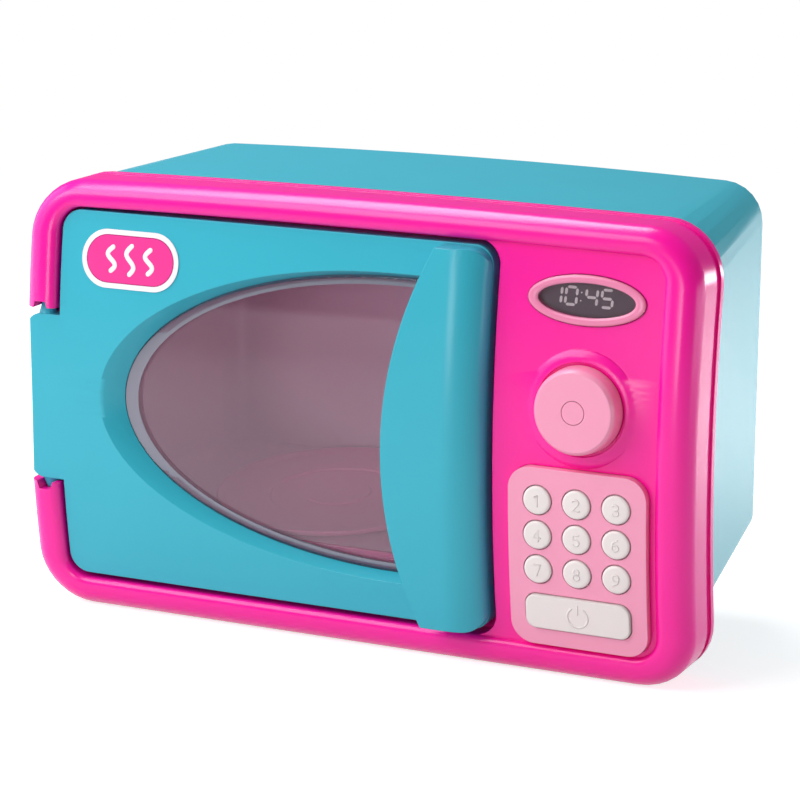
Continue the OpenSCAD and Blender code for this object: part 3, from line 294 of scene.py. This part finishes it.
def piece(name, verts, faces, mat, slot, body, shade=True):
    """Object of its own with a material, on a body of the part. Its slot is not used."""
    mesh = bpy.data.meshes.new(name)
    mesh.from_pydata([tuple(v) for v in verts], [], faces)
    mesh.update()
    work = bmesh.new()
    work.from_mesh(mesh)
    bmesh.ops.recalc_face_normals(work, faces=work.faces)
    work.to_mesh(mesh)
    work.free()
    mesh.polygons.foreach_set("use_smooth", [shade] * len(mesh.polygons))
    mesh.materials.append(mat)
    obj = bpy.data.objects.new(name, mesh)
    scene.collection.objects.link(obj)
    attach(obj, body)


def loft(rings, closed=False):
    """Skin over rings of points, in a circle or with both ends capped."""
    n, m = len(rings), len(rings[0])
    verts = [q for ring in rings for q in ring]
    faces = []
    for i in range(n if closed else n - 1):
        a, b = i * m, (i + 1) % n * m
        faces += [(a + j, a + (j + 1) % m, b + (j + 1) % m, b + j) for j in range(m)]
    if not closed:
        faces += [tuple(range(m)), tuple((n - 1) * m + j for j in range(m))]
    return verts, faces


def joined(parts):
    """One mesh from several."""
    verts, faces = [], []
    for v, f in parts:
        base = len(verts)
        verts += v
        faces += [tuple(i + base for i in face) for face in f]
    return verts, faces


# A bead's section from side to side, in half widths, and the steps of its domed ends
SECTION = (-1, -0.92, -0.6, 0, 0.6, 0.92, 1)
DOME = (0.15, 0.6, 1.1)


def bead(path, width, height, sink, place):
    """Rounded raised line along a path of (u, v), with domed ends; place puts (u, v, rise)."""
    rings = []
    last = len(path) - 1
    half = width / 2
    for i, (u, v) in enumerate(path):
        a, b = path[max(i - 1, 0)], path[min(i + 1, last)]
        length = math.hypot(b[0] - a[0], b[1] - a[1])
        du, dv = (b[0] - a[0]) / length, (b[1] - a[1]) / length
        shifts = [(0, 1)]
        if i == 0:
            shifts = [(-math.cos(t), math.sin(t)) for t in DOME] + shifts
        elif i == last:
            shifts = shifts + [(math.cos(t), math.sin(t)) for t in reversed(DOME)]
        for step, size in shifts:
            cu, cv = u + du * step * half, v + dv * step * half
            ring = []
            for s in SECTION:
                rise = height * size * math.sqrt(1 - s * s) - (sink if abs(s) == 1 else 0)
                ring.append(place(cu - dv * s * size * half, cv + du * s * size * half, rise))
            rings.append(ring)
    return loft(rings)


def arc(cu, cv, ru, rv, start, end, n=12):
    """Points along an oval's arc, between two angles in degrees."""
    turns = [math.radians(start + (end - start) * i / n) for i in range(n + 1)]
    return [(cu + ru * math.cos(t), cv + rv * math.sin(t)) for t in turns]


def mark(lines, x, z, unit_u, unit_v, lift, width, height):
    """Raised marks on the key at x, z, from lines in units of unit_u and unit_v."""
    sink = 0.0001

    def place(u, v, rise):
        return face_point(x, z, KEY_TOP + rise, u, v)

    parts = []
    for line in lines:
        path = [(u * unit_u, v * unit_v + lift) for u, v in line]
        parts.append(bead(path, width, height, sink, place))
    return joined(parts)


# Strokes of plain digits in a box one wide and two high, around its middle
DIGITS = {
    1: [[(-0.35, 0.6), (0.1, 1), (0.1, -1)]],
    2: [arc(0, 0.5, 0.5, 0.5, 160, -35) + [(-0.5, -1), (0.55, -1)]],
    3: [arc(0, 0.5, 0.47, 0.5, 150, -85), arc(0, -0.5, 0.52, 0.5, 85, -150)],
    4: [[(0.25, -1), (0.25, 1), (-0.55, -0.4), (0.6, -0.4)]],
    5: [[(0.45, 1), (-0.38, 1), (-0.45, 0.12)] + arc(0, -0.4, 0.52, 0.6, 120, -145)],
    6: [[(0.35, 0.95)] + arc(0.15, -0.3, 0.65, 1.1, 120, 180, 6)
        + arc(0, -0.45, 0.5, 0.55, 190, 540)],
    7: [[(-0.5, 1), (0.5, 1), (-0.1, -1)]],
    8: [arc(0, 0.52, 0.42, 0.48, 270, -90, 16), arc(0, -0.48, 0.52, 0.52, 90, 450, 16)],
    9: [arc(0, 0.45, 0.5, 0.55, 10, 360, 16) + arc(-0.15, 0.3, 0.65, 1.1, 0, -60, 6)
        + [(-0.35, -0.95)]],
}
for number, strokes in DIGITS.items():
    row, column = divmod(number - 1, 3)
    digit = mark(strokes, PART_X + (column - 1) * PITCH_X, ROW_1 - row * PITCH_Z,
                 unit_u=0.0028, unit_v=0.0024, lift=0, width=0.00085, height=0.00015)
    piece(f"key_{number}_digit", *digit, mats["white_key"], "white_key", f"key_{number}_body")

# Power symbol on the wide key: an open ring and a stroke
SYMBOL = [arc(0, 0, 1, 1, 125, 415, 28), [(0, 0.35), (0, 1.15)]]
power = mark(SYMBOL, PART_X, START_Z,
             unit_u=0.0046, unit_v=0.0046, lift=-0.0003, width=0.0011, height=0.00018)
piece("start_key_symbol", *power, mats["white_key"], "white_key", "start_key_body")

# Seven-segment time on the display's card. A run goes from column and row to column and row.
SEGMENTS = {"0": "abcdef", "1": "bc", "4": "fgbc", "5": "afgcd"}
RUNS = {"a": (0, 2, 1, 2), "b": (1, 2, 1, 1), "c": (1, 1, 1, 0), "d": (0, 0, 1, 0),
        "e": (0, 1, 0, 0), "f": (0, 2, 0, 1), "g": (0, 1, 1, 1)}
FIGURE_W, HALF_H, LEAN = 0.0048, 0.0036, 0.06
LEFT_EDGES = (-0.0175, -0.0107, -0.0017, 0.0052)
TIME_RAISED = 0.0012
BAR_HALF, POINT_HALF, END_GAP = 0.0006, 0.0004, 0.45
COLON_X, COLON_UP = 0.0037, 0.0017
CARD, INK = -0.0026, 0.00006


def bar(x0, z0, x1, z1, half):
    """Printed bar with pointed ends, between two points of the card."""
    length = math.hypot(x1 - x0, z1 - z0)
    dx, dz = (x1 - x0) / length, (z1 - z0) / length
    gap = half * END_GAP
    outline = []
    for t, s in ((gap, 0), (gap + half, 1), (length - gap - half, 1), (length - gap, 0),
                 (length - gap - half, -1), (gap + half, -1)):
        outline.append((x0 + dx * t - dz * s * half, z0 + dz * t + dx * s * half))
    return loft([[face_point(x, z, rise) for x, z in outline] for rise in (CARD, CARD + INK)])


parts = []
middle = DISPLAY_Z + TIME_RAISED
for left, figure in zip(LEFT_EDGES, "1045"):
    for segment in SEGMENTS[figure]:
        a, b, c, d = RUNS[segment]
        ends = [(PART_X + left + column * FIGURE_W + row * HALF_H * LEAN,
                 middle + (row - 1) * HALF_H) for column, row in ((a, b), (c, d))]
        parts.append(bar(*ends[0], *ends[1], BAR_HALF))
for up in (-COLON_UP, COLON_UP):
    x = PART_X - COLON_X + up * LEAN
    parts.append(bar(x, middle + up - BAR_HALF, x, middle + up + BAR_HALF, POINT_HALF))
piece("display_time", *joined(parts), digit_paint, "display_print", "oven", False)

# Moulded rim over the lens's edge: half width, half height and rise, from outside to inside
LENS_RIM = ((0.0262, 0.0105, 0.0003), (0.0260, 0.01035, 0.0008), (0.0251, 0.0097, 0.00115),
            (0.0232, 0.0083, 0.0012), (0.0219, 0.0073, 0.00095), (0.0214, 0.0069, 0.0003))


def oval_ring(cx, cz, stations, n=72):
    """Closed ring with a section of (half width, half height, rise) stations."""
    rings = []
    for i in range(n):
        cos_a, sin_a = math.cos(2 * math.pi * i / n), math.sin(2 * math.pi * i / n)
        rings.append([face_point(cx + a * cos_a, cz + b * sin_a, r) for a, b, r in stations])
    return loft(rings, closed=True)


piece("display_lens_rim", *oval_ring(PART_X, DISPLAY_Z, LENS_RIM), rim_pink, "lens_clear", "oven")

# Bevel around the pane, on the pane's own slope, in a mostly opaque grey that is painted
# reflection of the bright surroundings.
# Half width, half height and depth of the bevel's edges: its front, then its back
PANE_RIM = ((0.1338, 0.0655, 0.00746), (0.1282, 0.0642, 0.00715), (0.1272, 0.0628, 0.00715),
            (0.1272, 0.0628, 0.0074), (0.1282, 0.0642, 0.0074), (0.1338, 0.0655, 0.0077))
PANE_RIM_END = 0.0435


def pane_rim(steps=120):
    """Half an oval from the top to the foot, with a straight run to the grip at each end."""
    rings = []
    angles = [90] + [90 + 180 * i / steps for i in range(steps + 1)] + [270]
    for i, angle in enumerate(angles):
        cos_a, sin_a = math.cos(math.radians(angle)), math.sin(math.radians(angle))
        straight = i in (0, len(angles) - 1)
        rings.append([face_point(PANE_RIM_END if straight else WIN_X + a * cos_a,
                                 WIN_Z + b * sin_a, -depth) for a, b, depth in PANE_RIM])
    return loft(rings)


piece("window_pane_rim", *pane_rim(), pane_rim_painted_reflection, "smoke_pane", "door_leaf", False)

# Sticker: a pink pill in a white border, with three lines of steam
STICKER_TOP = 0.0004
PRINT_SINK = 0.0001
STEAM_PITCH, STEAM_SWING, STEAM_HALF_TURNS = 0.0095, 0.0019, 2.1
STEAM_W, STEAM_H, STEAM_SINK, STEAM_LIFT = 0.0023, 0.0001, 0.00005, 0.00006
STEAM_HALF_H = (0.0052, 0.0062, 0.0052)
STEAM_STEPS = 24


def pill(half_w, half_h, thick, rows=20):
    """Thin plate with round ends on the sticker's film."""
    rings = []
    low = STICKER_TOP - PRINT_SINK
    for i in range(rows + 1):
        t = math.pi * (i / rows - 0.5)
        z = STICK_Z + half_h * math.sin(t)
        dx = half_w - half_h + half_h * math.cos(t)
        rings.append([face_point(STICK_X + s * dx, z, rise) for s, rise in
                      ((-1, low), (1, low), (1, low + thick), (-1, low + thick))])
    return loft(rings)


outline = pill(half_w=0.0222, half_h=0.0107, thick=0.00013)
field = pill(half_w=0.0218, half_h=0.0103, thick=0.00016)
piece("sticker_outline", *outline, sticker_rim, "sticker_print", "door_leaf", False)
piece("sticker_field", *field, sticker_pink, "sticker_print", "door_leaf", False)


def on_sticker(x, z, rise):
    return face_point(x, z, STICKER_TOP + STEAM_LIFT + rise)


parts = []
for i, tall in enumerate(STEAM_HALF_H):
    cx = STICK_X + (i - 1) * STEAM_PITCH
    line = [(cx + STEAM_SWING * math.sin(STEAM_HALF_TURNS * math.pi * k / STEAM_STEPS),
             STICK_Z - tall + 2 * tall * k / STEAM_STEPS) for k in range(STEAM_STEPS + 1)]
    parts.append(bead(line, STEAM_W, STEAM_H, STEAM_SINK, on_sticker))
piece("sticker_steam", *joined(parts), mats["sticker_print"], "sticker_print", "door_leaf")

# Camera, fitted to the photograph: angles, distance, and middle and focal length in pixels
YAW, PITCH, DISTANCE = math.radians(26.105), math.radians(14.0), 1.30955
AIM = Vector((0, FACE_Y, 0.09953))
PHOTO_PX, FOCAL_PX = 800, 3012.58
MIDDLE_X, MIDDLE_Y = 353.18, 425.04
SENSOR = 36


def turned(line):
    """Turn that points an object's -Z along a line."""
    return line.to_track_quat("-Z", "Y").to_euler()


lens = bpy.data.cameras.new("view")
camera = bpy.data.objects.new("view", lens)
scene.collection.objects.link(camera)
away = Vector((math.sin(YAW) * math.cos(PITCH), -math.cos(YAW) * math.cos(PITCH),
               math.sin(PITCH)))
camera.location = AIM + away * DISTANCE
camera.rotation_euler = turned(-away)
lens.sensor_width = SENSOR
lens.lens = FOCAL_PX * SENSOR / PHOTO_PX
lens.shift_x = (PHOTO_PX / 2 - MIDDLE_X) / PHOTO_PX
lens.shift_y = (MIDDLE_Y - PHOTO_PX / 2) / PHOTO_PX
lens.clip_start = 0.05
scene.camera = camera


def area(name, where, look, size_x, size_y, power, colour=(1, 1, 1)):
    """Rectangular lamp, unseen by the camera, that looks at a point."""
    data = bpy.data.lights.new(name, "AREA")
    data.shape = "RECTANGLE"
    data.size, data.size_y = size_x, size_y
    data.energy = power
    data.color = colour
    obj = bpy.data.objects.new(name, data)
    obj.visible_camera = False
    scene.collection.objects.link(obj)
    obj.location = where
    obj.rotation_euler = turned(Vector(look) - Vector(where))
    return data


area("key_light", (-0.95, -1.22, 1.35), (0, -0.05, 0.1), 1.4, 1.2, 25)
area("top_light", (-0.6, 0.2, 1.5), (0, 0, 0.1), 1.4, 0.5, 20, (0.88, 0.96, 1.0))
area("left_light", (-0.8, -0.3, 0.36), (0, -0.2, 0.1), 1.2, 0.7, 3.5, (1.0, 0.97, 1.0))
area("right_light", (0.8, 0.15, 0.16), (0.15, 0.05, 0.12), 0.8, 0.26, 1.5, (0.96, 0.98, 1.0))
area("back_light", (0.95, 1.45, 0.15), (0.16, 0.0, 0.15), 0.6, 0.2, 5)
pool = area("floor_light", (0.44, 0.66, 0.3), (0.44, 0.661, 0), 0.5, 0.8, 3.4)
pool.spread = math.radians(60)
area("front_strip", (-0.12, -1.7, 0.16), (-0.05, -0.05, 0.12), 0.35, 0.6, 5)

# World: white to the camera, dimmer as a light
WORLD_LEVEL = 0.18
world = bpy.data.worlds.new("studio")
scene.world = world
g = Graph(world, "OutputWorld")
path = g.add("LightPath").outputs
white = g.calc("MAXIMUM", path["Is Camera Ray"], path["Is Transmission Ray"])
backdrop = g.add("Background", Color=(1, 1, 1, 1))
g.link(g.calc("MAXIMUM", white, WORLD_LEVEL), backdrop.inputs["Strength"])
g.surface(backdrop.outputs[0])

# Floor: near the oven it takes the shadow, further off it fades to plain white
FLOOR_HALF = 6
FLOOR_GREY, FLOOR_GLOW = 0.6, 0.74
floor_mesh = bpy.data.meshes.new("floor")
corners = [(x * FLOOR_HALF, y * FLOOR_HALF, 0) for x, y in ((-1, -1), (1, -1), (1, 1), (-1, 1))]
floor_mesh.from_pydata(corners, [], [(0, 1, 2, 3)])
floor = bpy.data.objects.new("floor", floor_mesh)
scene.collection.objects.link(floor)
paper = bpy.data.materials.new("floor_paper")
g = Graph(paper)
path = g.add("LightPath").outputs
seen = g.calc("MAXIMUM", path["Is Camera Ray"], path["Is Glossy Ray"])
grey = g.add("BsdfDiffuse", Color=(FLOOR_GREY, FLOOR_GREY, FLOOR_GREY, 1))
glow = g.add("Emission")
g.link(g.calc("MULTIPLY", seen, FLOOR_GLOW), glow.inputs["Strength"])
near = g.add("AddShader")
g.link(grey.outputs[0], near.inputs[0])
g.link(glow.outputs[0], near.inputs[1])
distance = g.add("VectorMath", operation="LENGTH")
g.link(g.object_coords(), distance.inputs[0])
fade = g.add("MapRange", From_Min=0.5, From_Max=1.3)
g.link(distance.outputs["Value"], fade.inputs["Value"])
far = g.calc("MULTIPLY", fade.outputs["Result"], seen)
g.surface(g.mix(far, near.outputs[0], g.add("Emission").outputs[0]))
floor_mesh.materials.append(paper)
